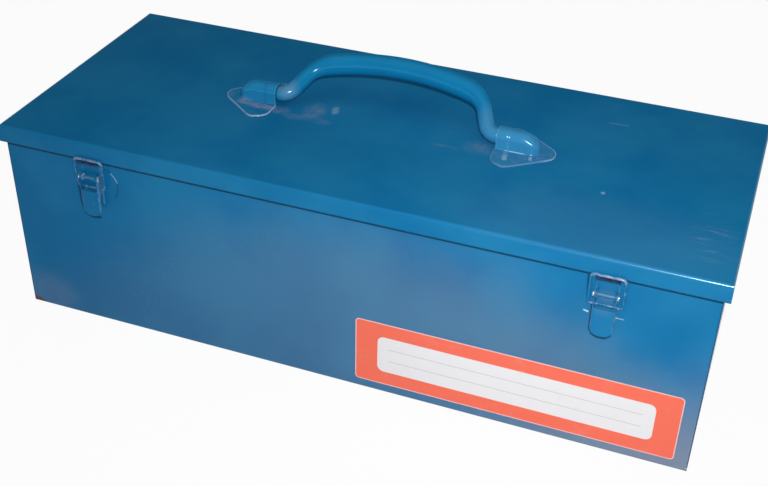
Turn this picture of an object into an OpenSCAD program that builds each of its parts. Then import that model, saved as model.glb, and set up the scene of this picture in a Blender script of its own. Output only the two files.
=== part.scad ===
// Sheet steel tool case: a bent tray with welded ends, a hinged pan lid, two toggle latches
// and a folding tube handle. Millimetres. X runs along the case, the front faces -Y, +Z is up,
// and the origin is the middle of the underside.

/* [Case body] */
// Outside length of the body
body_l = 512; // [420:1:640]
// Outside depth of the body, front to back
body_d = 211; // [170:1:280]
// Height of the body from the underside to its rim
body_h = 157.3; // [120:0.1:240]
// Thickness of the body sheet
sheet_t = 1; // [0.8:0.1:1.5]
// Inside radius of the folds in the sheet
bend_r = 1.5; // [1:0.1:2.5]
// Height of the folded hem round the rim
hem_h = 8; // [5:0.5:12]
// Width of the flanges that weld the end panels to the tray
weld_flange = 12; // [8:1:20]

/* [Lid] */
// Room between the lid skirt and the front and back walls
lid_gap = 2; // [1.8:0.1:3.5]
// Room between the lid skirt and the ends of the body
end_gap = 3; // [2:0.1:5]
// Thickness of the lid sheet
lid_t = 1; // [0.8:0.1:1.5]
// Height of the lid skirt, outside
skirt_h = 13; // [11:0.5:24]

/* [Hinges] */
// Distance of each hinge from the middle of the case
hinge_x = 165; // [80:1:180]
// Length of a hinge along the case
hinge_w = 50; // [30:1:70]
// Thickness of a hinge leaf
leaf_t = 1.2; // [1:0.1:1.6]
// Diameter of a hinge pin
hinge_pin_d = 3; // [2.5:0.1:4]
// Length of the flat part of the leaf on the back wall
leaf_h = 15; // [10:1:30]

/* [Latches] */
// Distance of each latch from the middle of the case
latch_x = 186; // [120:1:195]
// Thickness of the sheet in the latch pieces
latch_t = 1; // [0.8:0.1:1.2]
// Width of the lever
lever_w = 15; // [13:0.2:18]
// Length of the lever below its pivot
lever_l = 30.5; // [28:0.5:45]
// How far the lever stands off the front wall
lever_out = 7.2; // [6.8:0.1:8]
// Distance from the lever pivot down to the bail pivot
crank_l = 8.3; // [7.5:0.1:9.5]
// Width of the wire bail, between wire centres
bail_w = 22; // [22:0.2:28]
// Length of the wire bail, between wire centres
bail_l = 22.7; // [21:0.1:30]
// Diameter of the bail wire
wire_d = 2; // [1.6:0.1:2.2]
// Radius of the bail's corners, to the middle of the wire
bail_r = 2.5; // [2.5:0.1:4]
// Diameter of the lever pivot pin
lever_pin_d = 2.4; // [2:0.1:2.6]
// How far the latch plate reaches above the lever pivot
base_up = 9; // [7:0.5:10]
// How far the latch plate reaches below the lever pivot
base_down = 24; // [20:0.1:28]
// Width of the catch under the lid skirt
catch_w = 16; // [12:0.5:18]

/* [Handle] */
// Place of the handle along the lid, from the lid's middle
handle_x = -2.8; // [-20:0.1:20]
// How far the handle leans back from upright
handle_lean = 60; // [0:1:80]
// Height of the grip's middle above the handle axis
handle_h = 40.2; // [39:0.1:60]
// Diameter of the grip
grip_d = 16.2; // [13:0.1:17.5]
// Diameter of the tube at the mouths of the brackets
tube_end_d = 11.6; // [11:0.1:13]
// Diameter of the necked tube ends that turn in the brackets
neck_d = 10.4; // [10:0.1:11]
// Radius of the gentle arch along the grip
arch_r = 192; // [150:1:300]
// Half the angle that the arched grip spans
arch_angle = 15.4; // [12:0.2:18]
// Slope of the handle legs
leg_angle = 66; // [58:1:70]
// Radius of the bends between grip and legs
upper_bend_r = 28; // [24:0.5:30]
// Radius of the bends between legs and tube ends
lower_bend_r = 11; // [10:0.5:13]
// Length of the necked end inside each bracket
tube_in = 15; // [12:0.5:16]

/* [Handle brackets] */
// Thickness of the bracket sheet
bracket_t = 1.2; // [1:0.1:1.5]
// Height of the handle axis above the lid
axis_h = 8.2; // [8:0.1:10.5]
// Length of the straight part of the bracket dome
dome_l = 16.5; // [15:0.5:20]
// Outside radius of the dome's shoulders
dome_r = 6; // [4:0.5:6]
// Width of the bracket flange across the lid
flange_w = 55; // [40:1:70]
// Length of the bracket flange from its inner edge to its tip
flange_l = 42.5; // [40:0.5:55]
// Rounding of the flange corners
flange_r = 10; // [5:0.5:12]

/* [Label] */
// Width of the label
label_w = 229.5; // [100:0.5:235]
// Height of the label
label_h = 54.5; // [30:0.5:60]
// Gap between the label and the right end of the body
label_side = 10; // [5:0.5:20]
// Gap between the label and the underside of the body
label_low = 8.2; // [5:0.1:20]
// Rounding of the label corners
label_r = 3; // [2:0.5:10]

/* [Fits] */
// Radial running clearance round the hinge and latch pins
run_gap = 0.06; // [0.02:0.01:0.1]
// Clearance between pieces that move past each other
part_gap = 0.3; // [0.2:0.05:0.4]
// Clearance between pieces that are welded together
weld_gap = 0.05; // [0.02:0.01:0.1]

/* [Hidden] */
$fn = 48;
left = -1;
right = 1;
enamel = "#1c6ea8";
worn_enamel = "#3a82b4";
bare_steel = "#b9bec4";
label_colour = "#ff7058";

// A cut reaches this far past the face it opens, or only by a hair where its height has to stay
past = 1;
hair = 0.01;

// Heads of the hinge and latch pins: length, and how far they stand out round the pin
pin_head_l = 0.8;
pin_rim = 0.7;

// Lid
lid_l = body_l + 2 * (end_gap + lid_t);
lid_d = body_d + 2 * (lid_gap + lid_t);
lid_top = body_h + part_gap + lid_t;
skirt_z = lid_top - skirt_h;

// Hinge axis, just behind the skirt and below its edge
leaf_set = 0.3;
knuckle_r = hinge_pin_d / 2 + run_gap + leaf_t;
hinge_y = lid_d / 2 + leaf_t + leaf_set;
hinge_z = skirt_z - knuckle_r - part_gap;
knuckle_share = 0.3;
leaf_neck = 2;

// Latch, placed from the lid skirt that its bail pulls down. The bail leans out towards its upper
// bar, and its foot lies inside the lever pivot, so that its pull keeps the lever shut.
wall_y = -body_d / 2;
bar_rise = 0.8;
bail_lean = 1.1;
over_centre = 1;
lip_past = 1.9;
bar_out = lid_gap + lid_t + part_gap + wire_d / 2;
bar_z = skirt_z + bar_rise;
bail_foot_out = bar_out - bail_lean;
bail_foot_z = bar_z - bail_l;
bail_tilt = atan(bail_lean / bail_l);
pivot_out = bail_foot_out + over_centre;
pivot_z = bail_foot_z + crank_l;
lever_in = latch_t + part_gap;
arm_r = pivot_out - lever_in;
ear_x = lever_w / 2 - latch_t - part_gap;
lip_out = bar_out + lip_past;
latch_fold_r = 0.5;
base_r = 3;
lever_tip_l = 6.6;
lever_tip_r = 6.2;
lever_edge = 2;
arm_taper = 5;

// Handle outline, from the middle of the grip down to the tube end. The tube tapers over the
// first share of the way from the grip's arch to its end.
arch_x = arch_r * sin(arch_angle);
arch_drop = arch_r * (1 - cos(arch_angle));
upper_x = upper_bend_r * (sin(leg_angle) - sin(arch_angle));
upper_drop = upper_bend_r * (cos(arch_angle) - cos(leg_angle));
lower_x = lower_bend_r * sin(leg_angle);
lower_drop = lower_bend_r * (1 - cos(leg_angle));
leg_l = (handle_h - arch_drop - upper_drop - lower_drop) / sin(leg_angle);
tube_end_x = arch_x + upper_x + leg_l * cos(leg_angle) + lower_x;
upper_centre = (arch_r - upper_bend_r) * [sin(arch_angle), cos(arch_angle)] + [0, handle_h - arch_r];
leg_start = upper_centre + upper_bend_r * [sin(leg_angle), cos(leg_angle)];
upper_run = upper_bend_r * (leg_angle - arch_angle) * PI / 180;
end_run = upper_run + leg_l + lower_bend_r * leg_angle * PI / 180;
taper_share = 0.45;
taper_run = taper_share * end_run;
tube_sides = 20;
arch_steps = 5;
bend_steps = 6;
leg_steps = 4;

// Handle bracket, whose tunnel holds the necked tube end. Its mouth lies just past the handle's
// bend, and its flange starts a little further in.
neck_root = 2;
mouth_set = 0.5;
flange_in = 0.5;
tunnel_r = neck_d / 2 + part_gap;
mouth_x = tube_end_x + mouth_set;
flange_x = mouth_x - flange_in;

// Steps smoothly from 0 to 1
function ease(s) = s * s * (3 - 2 * s);

// A place along the handle: how far out, how high, its downward slope and the tube radius there
function station(x, height, slope, run) =
    [x, height, slope, (grip_d + (tube_end_d - grip_d) * ease(min(1, run / taper_run))) / 2];

half_stations = concat(
    [for (i = [1:arch_steps]) let (a = arch_angle * i / arch_steps)
        station(arch_r * sin(a), handle_h - arch_r * (1 - cos(a)), a, 0)],
    [for (i = [1:bend_steps]) let (a = arch_angle + (leg_angle - arch_angle) * i / bend_steps)
        station(upper_centre.x + upper_bend_r * sin(a), upper_centre.y + upper_bend_r * cos(a), a,
            upper_bend_r * (a - arch_angle) * PI / 180)],
    [for (i = [1:leg_steps]) let (s = leg_l * i / leg_steps)
        station(leg_start.x + s * cos(leg_angle), leg_start.y - s * sin(leg_angle), leg_angle,
            upper_run + s)],
    [for (i = [1:bend_steps]) let (a = leg_angle * (1 - i / bend_steps))
        station(tube_end_x - lower_bend_r * sin(a), lower_bend_r * (1 - cos(a)), a,
            end_run - lower_bend_r * a * PI / 180)]
);
handle_stations = concat(
    [for (i = [len(half_stations) - 1:-1:0]) let (s = half_stations[i]) [-s[0], s[1], -s[2], s[3]]],
    [[0, handle_h, 0, grip_d / 2]],
    half_stations
);

// Ring of points round the tube at one station
function tube_ring(s) = [
    for (k = [0:tube_sides - 1]) let (a = 360 * k / tube_sides)
        [s[0] + s[3] * cos(a) * sin(s[2]), s[1] + s[3] * cos(a) * cos(s[2]), s[3] * sin(a)]
];

// Places a flat outline, drawn in Y and Z, along the length of the case
module along_x(length) {
    rotate([90, 0, 90]) linear_extrude(height = length, center = true) children();
}

// Places a flat outline, drawn in X and Z, along the depth of the case
module along_y(length) {
    rotate([90, 0, 0]) linear_extrude(height = length, center = true) children();
}

// A round bar along X, centred on the point
module bar_x(length, d) {
    rotate([0, 90, 0]) cylinder(h = length, d = d, center = true);
}

// Filled outline of a trough: flat top, two rounded corners at the bottom
module trough(width, height, r) {
    translate([-width / 2, r]) square([width, height - r]);
    translate([-width / 2 + r, 0]) square([width - 2 * r, height]);
    for (s = [left, right]) translate([s * (width / 2 - r), r]) circle(r);
}

// Polygon whose corners are rounded outwards by r, from corners listed anticlockwise
module rounded_outline(corners, r) {
    count = len(corners);
    polygon(corners);
    for (i = [0:count - 1]) {
        a = corners[i];
        b = corners[(i + 1) % count];
        side = b - a;
        out = r * [side.y, -side.x] / norm(side);
        polygon([a, a + out, b + out, b]);
        translate(a) circle(r);
    }
}

// Rectangle with rounded corners, centred
module rounded_plate(width, height, r) {
    x = width / 2 - r;
    y = height / 2 - r;
    rounded_outline([[-x, -y], [x, -y], [x, y], [-x, y]], r);
}

// Front wall, floor and back wall bent from one sheet, with the rim hemmed inwards
module body_tray() {
    color(enamel) along_x(body_l) {
        difference() {
            trough(body_d, body_h - sheet_t, bend_r + sheet_t);
            translate([0, sheet_t]) trough(body_d - 2 * sheet_t, body_h, bend_r);
        }
        for (s = [left, right]) {
            translate([s * (body_d / 2 - sheet_t), body_h - sheet_t]) circle(sheet_t);
            translate([s * (body_d / 2 - 1.5 * sheet_t) - sheet_t / 2, body_h - hem_h])
                square([sheet_t, hem_h - sheet_t]);
        }
    }
}

// End wall with weld flanges folded inwards along the floor and both walls
module end_panel(side) {
    panel_w = body_d - 2 * (sheet_t + weld_gap);
    panel_z = sheet_t + weld_gap;
    rim_w = panel_w - 2 * sheet_t;
    hem_z = body_h - hem_h;
    color(enamel) {
        difference() {
            translate([side * (body_l - weld_flange) / 2, 0, panel_z])
                along_x(weld_flange) trough(panel_w, body_h - sheet_t - panel_z, bend_r);
            translate([side * (body_l / 2 - sheet_t - weld_flange / 2), 0, panel_z + sheet_t])
                along_x(weld_flange) trough(rim_w, body_h, bend_r / 2);
            for (s = [left, right])
                translate([side * body_l / 2, s * (rim_w / 2 + sheet_t), body_h])
                    cube([2 * weld_flange + past, 2 * sheet_t, 2 * (hem_h + weld_gap)], center = true);
        }
        translate([side * (body_l / 2 - sheet_t), 0, 0]) along_y(rim_w) {
            translate([0, body_h - sheet_t]) circle(sheet_t);
            translate([side * -sheet_t / 2 - sheet_t / 2, hem_z]) square([sheet_t, hem_h - sheet_t]);
        }
    }
}

// Solid block with the two long and two short top edges rounded, top face at height 0
module pan_block(length, depth, height, r) {
    intersection() {
        along_x(length) mirror([0, 1]) trough(depth, height, r);
        along_y(depth) mirror([0, 1]) trough(length, height, r);
    }
}

// Lid pressed as a shallow pan with a skirt on all four sides
module lid_shell() {
    color(enamel) translate([0, 0, lid_top]) difference() {
        pan_block(lid_l, lid_d, skirt_h, bend_r + lid_t);
        translate([0, 0, -lid_t])
            pan_block(lid_l - 2 * lid_t, lid_d - 2 * lid_t, skirt_h, bend_r);
    }
}

// Moves a hinge piece from its own axis to its place on the back of the case
module at_hinge(side) {
    translate([side * hinge_x, hinge_y, hinge_z]) children();
}

// One stretch of hinge knuckle that grows into its leaf
module knuckle(x0, x1, leaf_end) {
    translate([(x0 + x1) / 2, 0, 0]) along_x(x1 - x0) difference() {
        union() {
            circle(knuckle_r);
            translate([-leaf_set - leaf_t, min(0, leaf_end)]) square([leaf_t, abs(leaf_end)]);
        }
        circle(hinge_pin_d / 2 + run_gap);
    }
}

// Lower leaf: two outer knuckles, cranked in to lie flat on the back wall
module body_leaf(side) {
    near = -leaf_set - leaf_t;
    far = body_d / 2 - hinge_y;
    neck = -knuckle_r - part_gap;
    step = neck - leaf_neck;
    foot = step - (near - far);
    split = hinge_w * (0.5 - knuckle_share);
    color(enamel) at_hinge(side) {
        along_x(hinge_w) polygon([
            [near, neck], [near + leaf_t, neck], [near + leaf_t, step], [far + leaf_t, foot],
            [far + leaf_t, foot - leaf_h], [far, foot - leaf_h], [far, foot], [near, step]
        ]);
        for (s = [left, right])
            knuckle(s > 0 ? split : -hinge_w / 2, s > 0 ? hinge_w / 2 : -split, neck - past);
    }
}

// Upper leaf: one middle knuckle, welded to the back skirt of the lid
module lid_leaf(side) {
    low = skirt_z - hinge_z;
    high = lid_top - bend_r - lid_t - hinge_z;
    half = hinge_w * (0.5 - knuckle_share) - part_gap;
    color(enamel) at_hinge(side) {
        translate([-hinge_w / 2, -leaf_set - leaf_t, low]) cube([hinge_w, leaf_t, high - low]);
        knuckle(-half, half, low + past);
    }
}

// Hinge pin with a flat head at each end
module hinge_pin(side) {
    head_x = hinge_w / 2 + run_gap + pin_head_l / 2;
    color(bare_steel) at_hinge(side) {
        bar_x(2 * head_x, hinge_pin_d);
        for (s = [left, right])
            translate([s * head_x, 0, 0]) bar_x(pin_head_l, hinge_pin_d + 2 * pin_rim);
    }
}

// Moves a latch piece to its place on the front wall, with its back on the wall
module at_latch(side) {
    translate([side * latch_x, wall_y, 0]) children();
}

// Plate welded to the front wall, with two ears that carry the lever pin
module latch_base(side) {
    middle = pivot_z + (base_up - base_down) / 2;
    color(worn_enamel) at_latch(side) difference() {
        union() {
            translate([0, -latch_t / 2, middle])
                along_y(latch_t) rounded_plate(lever_w, base_up + base_down, base_r);
            for (s = [left, right])
                translate([s * (ear_x - latch_t / 2), 0, pivot_z]) along_x(latch_t) {
                    translate([-pivot_out, 0]) circle(arm_r);
                    translate([-pivot_out, -arm_r]) square([pivot_out, 2 * arm_r]);
                }
        }
        translate([0, -pivot_out, pivot_z]) bar_x(lever_w, lever_pin_d + 2 * run_gap);
    }
}

// Side view of the lever: round arms at the pivot that taper into shallow edges down to the tip
module lever_side() {
    front = pivot_out - lever_out;
    waist = -crank_l - wire_d;
    circle(arm_r);
    polygon([
        [arm_r, 0], [front, 0], [front, -lever_l], [front + latch_t, -lever_l],
        [front + lever_edge, lever_tip_l - lever_l], [front + lever_edge, waist - arm_taper], [arm_r, waist]
    ]);
}

// Channel lever: open between its arms at the top, with a round tip to lift
module latch_lever(side) {
    front_top = bail_foot_z - wire_d / 2 - part_gap;
    tip_z = pivot_z - lever_l;
    full_l = lever_l + arm_r + past;
    color(worn_enamel) at_latch(side) difference() {
        intersection() {
            translate([0, -lever_out, tip_z]) linear_extrude(height = full_l) difference() {
                trough(lever_w, lever_out, latch_fold_r + latch_t);
                translate([0, latch_t]) trough(lever_w - 2 * latch_t, lever_out, latch_fold_r);
            }
            translate([0, -pivot_out, pivot_z]) along_x(lever_w) lever_side();
            translate([0, -lever_out / 2, tip_z]) along_y(lever_out) trough(lever_w, full_l, lever_tip_r);
        }
        translate([-ear_x - part_gap, -lever_out - past, front_top])
            cube([2 * (ear_x + part_gap), lever_out + past, lever_l]);
        translate([0, -pivot_out, pivot_z]) bar_x(lever_w + past, lever_pin_d + 2 * run_gap);
        translate([0, -bail_foot_out, bail_foot_z]) bar_x(lever_w + past, wire_d + 2 * run_gap);
    }
}

// Closed wire loop: its lower bar turns in the lever, its upper bar hooks the catch
module latch_bail(side) {
    run_x = bail_w - 2 * bail_r;
    run_z = bail_l - 2 * bail_r;
    color(worn_enamel) at_latch(side)
    translate([0, -bail_foot_out, bail_foot_z]) rotate([bail_tilt, 0, 0]) {
        for (z = [0, bail_l]) translate([0, 0, z]) bar_x(run_x, wire_d);
        for (s = [left, right]) {
            translate([s * bail_w / 2, 0, bail_r]) cylinder(h = run_z, d = wire_d);
            for (upper = [0, 1])
                translate([s * run_x / 2, 0, bail_r + upper * run_z]) rotate([90, 0, 0])
                    mirror([s > 0 ? 0 : 1, 0, 0]) mirror([0, upper > 0 ? 0 : 1, 0])
                        rotate_extrude(angle = 90) translate([bail_r, 0]) circle(d = wire_d);
        }
    }
}

// Pivot pin of the lever, riveted over at both ends
module latch_pin(side) {
    head_x = lever_w / 2 + run_gap + pin_head_l / 2;
    color(bare_steel) at_latch(side) translate([0, -pivot_out, pivot_z]) {
        bar_x(2 * head_x, lever_pin_d);
        for (s = [left, right])
            translate([s * head_x, 0, 0]) bar_x(pin_head_l, lever_pin_d + 2 * pin_rim);
    }
}

// Catch: a strip welded inside the skirt, whose lip turns out under the bail's upper bar
module latch_catch(side) {
    lip_top = bar_z - wire_d / 2 - part_gap;
    inner = lid_gap - latch_t;
    strip_h = skirt_h - bend_r - lid_t + skirt_z - lip_top;
    color(enamel) at_latch(side) along_x(catch_w) {
        translate([-lid_gap, lip_top]) square([latch_t, strip_h]);
        translate([-lip_out, lip_top - latch_t]) square([lip_out - inner, latch_t]);
    }
}

// Handle bent from one tube, lofted along its stations, with its ends necked down
module handle_tube() {
    neck_l = tube_in + neck_root;
    ring_count = len(handle_stations);
    side_faces = [
        for (i = [0:ring_count - 2], k = [0:tube_sides - 1])
            let (a = i * tube_sides, n = (k + 1) % tube_sides)
                [a + k, a + tube_sides + k, a + tube_sides + n, a + n]
    ];
    first_face = [for (k = [0:tube_sides - 1]) k];
    last_face = [for (k = [tube_sides - 1:-1:0]) (ring_count - 1) * tube_sides + k];
    points = [for (s = handle_stations) each tube_ring(s)];
    color(worn_enamel) translate([handle_x, 0, lid_top + axis_h]) rotate([90 - handle_lean, 0, 0]) {
        polyhedron(points, concat(side_faces, [first_face, last_face]));
        for (s = [left, right])
            translate([s * (tube_end_x + tube_in - neck_l / 2), 0, 0]) bar_x(neck_l, neck_d);
    }
}

// Solid bullet shape of half width r that stands on the lid, for the dome or for its hollow
module dome_block(r, shoulder_r, from_x) {
    nose_x = mouth_x + dome_l;
    top = axis_h + r;
    intersection() {
        translate([from_x, 0, top]) rotate([90, 0, 90]) linear_extrude(height = flange_l)
            mirror([0, 1]) trough(2 * r, top, shoulder_r);
        along_y(2 * r) {
            translate([from_x, 0]) square([nose_x - from_x, top]);
            intersection() {
                translate([nose_x, 0]) circle(top);
                translate([nose_x, 0]) square(top);
            }
        }
        linear_extrude(height = top) {
            translate([from_x, -r]) square([nose_x + top - r - from_x, 2 * r]);
            translate([nose_x + top - r, 0]) circle(r);
        }
    }
}

// Bracket pressed from one sheet: a flange welded to the lid and a dome open towards the grip
module handle_bracket(side) {
    corner_x = flange_x + flange_r;
    corner_y = flange_w / 2 - flange_r;
    tip_x = flange_x + flange_l - flange_r;
    color(enamel) translate([handle_x, 0, lid_top]) mirror([side > 0 ? 0 : 1, 0, 0]) difference() {
        union() {
            linear_extrude(height = bracket_t)
                rounded_outline([[corner_x, -corner_y], [tip_x, 0], [corner_x, corner_y]], flange_r);
            dome_block(tunnel_r + bracket_t, dome_r, mouth_x);
        }
        translate([0, 0, -hair]) dome_block(tunnel_r, dome_r - bracket_t, flange_x - past);
    }
}

// Label on the lower right of the front wall
module front_label() {
    film_t = 0.25;
    color(label_colour)
        translate([body_l / 2 - label_side - label_w / 2, wall_y - film_t / 2, label_low + label_h / 2])
            along_y(film_t) rounded_plate(label_w, label_h, label_r);
}

body_tray();
end_panel(left);  // end_panel_left
end_panel(right);  // end_panel_right
lid_shell();
body_leaf(left);  // hinge_left_body_leaf
lid_leaf(left);  // hinge_left_lid_leaf
hinge_pin(left);  // hinge_left_pin
body_leaf(right);  // hinge_right_body_leaf
lid_leaf(right);  // hinge_right_lid_leaf
hinge_pin(right);  // hinge_right_pin
latch_base(left);  // latch_left_base
latch_lever(left);  // latch_left_lever
latch_bail(left);  // latch_left_bail
latch_pin(left);  // latch_left_pin
latch_catch(left);  // latch_left_catch
latch_base(right);  // latch_right_base
latch_lever(right);  // latch_right_lever
latch_bail(right);  // latch_right_bail
latch_pin(right);  // latch_right_pin
latch_catch(right);  // latch_right_catch
handle_tube();
handle_bracket(left);  // handle_bracket_left
handle_bracket(right);  // handle_bracket_right
front_label();
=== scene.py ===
# %% [markdown]
# A painted steel tool case
#
# The real object is a long case of sheet steel in blue enamel: a box, a pan lid with a skirt, two toggle
# latches, a bent tube handle in two pressed brackets, and a printed label. The exact solids come from the
# packed model, so this lesson is about looks: a camera, lights, a few smoother pieces and the finishes. The
# model is in metres, and MM turns the millimetres of a workshop drawing into them.

# %% Load the packed model
import math

import bmesh
import bpy
from mathutils import Matrix, Vector


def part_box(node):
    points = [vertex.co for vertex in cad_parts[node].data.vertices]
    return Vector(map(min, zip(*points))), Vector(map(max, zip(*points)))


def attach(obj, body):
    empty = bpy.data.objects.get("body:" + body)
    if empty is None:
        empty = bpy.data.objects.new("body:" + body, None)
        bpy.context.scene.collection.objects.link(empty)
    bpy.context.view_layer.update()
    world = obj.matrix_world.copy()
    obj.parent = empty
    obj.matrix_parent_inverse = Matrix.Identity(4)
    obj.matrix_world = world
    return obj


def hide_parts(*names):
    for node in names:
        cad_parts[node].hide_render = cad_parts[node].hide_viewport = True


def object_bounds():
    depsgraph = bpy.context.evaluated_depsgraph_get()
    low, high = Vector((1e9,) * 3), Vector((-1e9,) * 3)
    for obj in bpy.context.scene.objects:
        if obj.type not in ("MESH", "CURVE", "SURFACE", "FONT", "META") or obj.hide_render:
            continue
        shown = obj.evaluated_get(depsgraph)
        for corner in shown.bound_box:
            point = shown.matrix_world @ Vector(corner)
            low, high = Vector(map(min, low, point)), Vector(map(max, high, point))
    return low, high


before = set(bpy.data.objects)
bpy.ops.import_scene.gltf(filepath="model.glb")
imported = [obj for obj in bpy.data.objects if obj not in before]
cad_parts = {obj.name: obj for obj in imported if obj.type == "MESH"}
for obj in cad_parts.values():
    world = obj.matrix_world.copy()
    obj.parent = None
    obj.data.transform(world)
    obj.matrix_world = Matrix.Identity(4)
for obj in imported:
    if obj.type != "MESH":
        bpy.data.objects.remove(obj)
cad_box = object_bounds()
MM = 0.001
print("case in mm:", [round(side / MM, 1) for side in cad_box[1] - cad_box[0]])

# %% [markdown]
# The camera
#
# The photograph was taken by hand, a little above the case and to the right of its middle, with a slight
# roll. A camera can be guessed by eye, but here its place, aim and focal length were solved from the
# corners of the lid and of the box, so that the model lies on the photograph without any shift. A focal
# length in pixels becomes a lens in millimetres through the width of the sensor.

# %% Camera at the photograph's viewing angle
scene = bpy.context.scene
PHOTO_WIDTH = 768
FOCAL_PIXELS = 1194.8
SENSOR_WIDTH = 36.0
camera_place = Vector((258.7, -720.4, 576.8)) * MM
camera_target = Vector((16.1, -49.8, 90.0)) * MM
camera_roll = math.radians(1.3)

lens = bpy.data.cameras.new("photo_camera")
lens.sensor_width = SENSOR_WIDTH
lens.lens = FOCAL_PIXELS * SENSOR_WIDTH / PHOTO_WIDTH
camera = bpy.data.objects.new("photo_camera", lens)
scene.collection.objects.link(camera)
scene.camera = camera


def aim(thing, place, target, roll=0.0):
    """Puts a camera or lamp at place, looking at target."""
    turn = (target - place).to_track_quat("-Z", "Y").to_matrix() @ Matrix.Rotation(roll, 3, "Z")
    thing.matrix_world = Matrix.Translation(place) @ turn.to_4x4()


aim(camera, camera_place, camera_target, camera_roll)
print("lens in mm:", round(lens.lens, 2))

# %% [markdown]
# Shader maths as Python
#
# A finish is a web of nodes, and wiring dozens of them by hand is slow to read. So one small class wraps an
# output socket, and Python's operators on it add Math nodes: 1 - mask makes a Subtract node and gives its
# output. A second class holds a node tree and has one method that adds any node, with its settings first
# and then the values or the links of its sockets.

# %% Wrap a socket, so that operators add Math nodes
class Value:
    """An output socket of a node, on which Python's operators work."""

    def __init__(self, nodes, socket):
        self.nodes = nodes
        self.socket = socket

    def out(self, name):
        """Another output of the same node."""
        return Value(self.nodes, self.socket.node.outputs[name])

    def math(self, operation, first, second=0.0):
        """A Math node on one or two values."""
        return self.nodes.node("ShaderNodeMath", {"operation": operation}, {0: first, 1: second})

    def __add__(self, other):
        return self.math("ADD", self, other)

    def __sub__(self, other):
        return self.math("SUBTRACT", self, other)

    def __rsub__(self, other):
        return self.math("SUBTRACT", other, self)

    def __mul__(self, other):
        return self.math("MULTIPLY", self, other)

    def __truediv__(self, other):
        return self.math("DIVIDE", self, other)

    def __abs__(self):
        return self.math("ABSOLUTE", self)

    def lower(self, other):
        """The lower of two values at each point."""
        return self.math("MINIMUM", self, other)

    def higher(self, other):
        """The higher of two values at each point."""
        return self.math("MAXIMUM", self, other)

    __radd__ = __add__
    __rmul__ = __mul__


print("operators on sockets: + - * / abs, lower, higher")


# %% One method that adds any node
class Nodes:
    """A node tree and the one method that adds a node to it."""

    def __init__(self, tree):
        self.tree = tree
        tree.nodes.clear()

    def node(self, kind, settings=None, sockets=None, output=0):
        """Adds a node, sets it up, fills or links its sockets and gives one of its outputs."""
        made = self.tree.nodes.new(kind)
        for name, setting in (settings or {}).items():
            if name == "stops":
                fill_ramp(made.color_ramp, setting)
            else:
                setattr(made, name, setting)
        for name, value in (sockets or {}).items():
            if isinstance(value, Value):
                self.tree.links.new(value.socket, made.inputs[name])
            else:
                made.inputs[name].default_value = value
        return Value(self, made.outputs[output]) if made.outputs else None

    def vector(self, operation, first, second=None, output=0):
        """A Vector Math node."""
        sockets = {0: first}
        if second is not None:
            sockets["Scale" if operation == "SCALE" else 1] = second
        return self.node("ShaderNodeVectorMath", {"operation": operation}, sockets, output)

    def mix(self, share, first, second):
        """The first colour where share is 0 and the second where it is 1."""
        return self.node("ShaderNodeMix", {"data_type": "RGBA"}, {0: share, 6: first, 7: second}, 2)

    def smooth(self, value, low, high):
        """0 below low and 1 above high, with a soft step between."""
        sockets = {"Value": value, "From Min": low, "From Max": high}
        return self.node("ShaderNodeMapRange", {"interpolation_type": "SMOOTHSTEP"}, sockets)


def fill_ramp(ramp, stops):
    """Gives a colour ramp its (place, brightness) stops."""
    while len(ramp.elements) < len(stops):
        ramp.elements.new(0.5)
    for element, (place, level) in zip(ramp.elements, stops):
        element.position = place
        element.color = (level, level, level, 1.0)


print("helpers of a node tree:", [name for name in vars(Nodes) if not name.startswith("_")])

# %% [markdown]
# Studio light
#
# In the photograph the light comes from a flash close above the lens: the near end of the lid is brighter
# than the far one, shadows are thin, and the rounded front edge of the lid shines where it faces the
# camera. One small area lamp above the lens gives all of that, with its spread narrowed to the beam of a
# flash. Two large soft lamps behind, which leave no highlight, and a pale world fill the sides that the
# photograph does not show. The world is brighter at the horizon and overhead than between, because a glossy
# lid mirrors what lies behind it. A low view looks past the floor's edge, so near the horizon the camera,
# mirrors and glass see plain white, which the Light Path node tells apart from the light that falls on the
# case.

# %% The world round the case
scene.view_settings.view_transform = "Standard"
WORLD_STOPS = ((0.0, 0.22), (0.5, 0.275), (0.58, 0.165), (0.68, 0.055), (0.8, 0.055), (1.0, 0.495))
WHITE = (1.0, 1.0, 1.0, 1.0)


def shows_background(nodes):
    """1 for rays from the camera and for those that a mirror or glass sends on."""
    path = nodes.node("ShaderNodeLightPath", output="Is Camera Ray")
    return path.higher(path.out("Is Glossy Ray")).higher(path.out("Is Transmission Ray"))


world = bpy.data.worlds.new("studio_air")
world.use_nodes = True
scene.world = world
air = Nodes(world.node_tree)
direction = air.node("ShaderNodeTexCoord", output="Generated")
climb = air.node("ShaderNodeSeparateXYZ", {}, {0: direction}, "Z")
glow = air.node("ShaderNodeValToRGB", {"stops": WORLD_STOPS}, {0: climb * 0.5 + 0.5})
low_down = 1 - air.smooth(climb, 0.1, 0.2)
seen = shows_background(air) * low_down
backdrop = air.node("ShaderNodeBackground", {}, {"Color": air.mix(seen, glow, WHITE)})
air.node("ShaderNodeOutputWorld", {}, {"Surface": backdrop})
levels = [level for _, level in WORLD_STOPS]
print("world light from", min(levels), "to", max(levels))


# %% The flash and two fill lamps
def lamp(name, place, target, size, watts):
    """A round area lamp."""
    light = bpy.data.lights.new(name, "AREA")
    light.shape = "DISK"
    light.size = size
    light.energy = watts
    thing = bpy.data.objects.new(name, light)
    scene.collection.objects.link(thing)
    thing.visible_camera = False
    aim(thing, place, target)
    return thing


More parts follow.
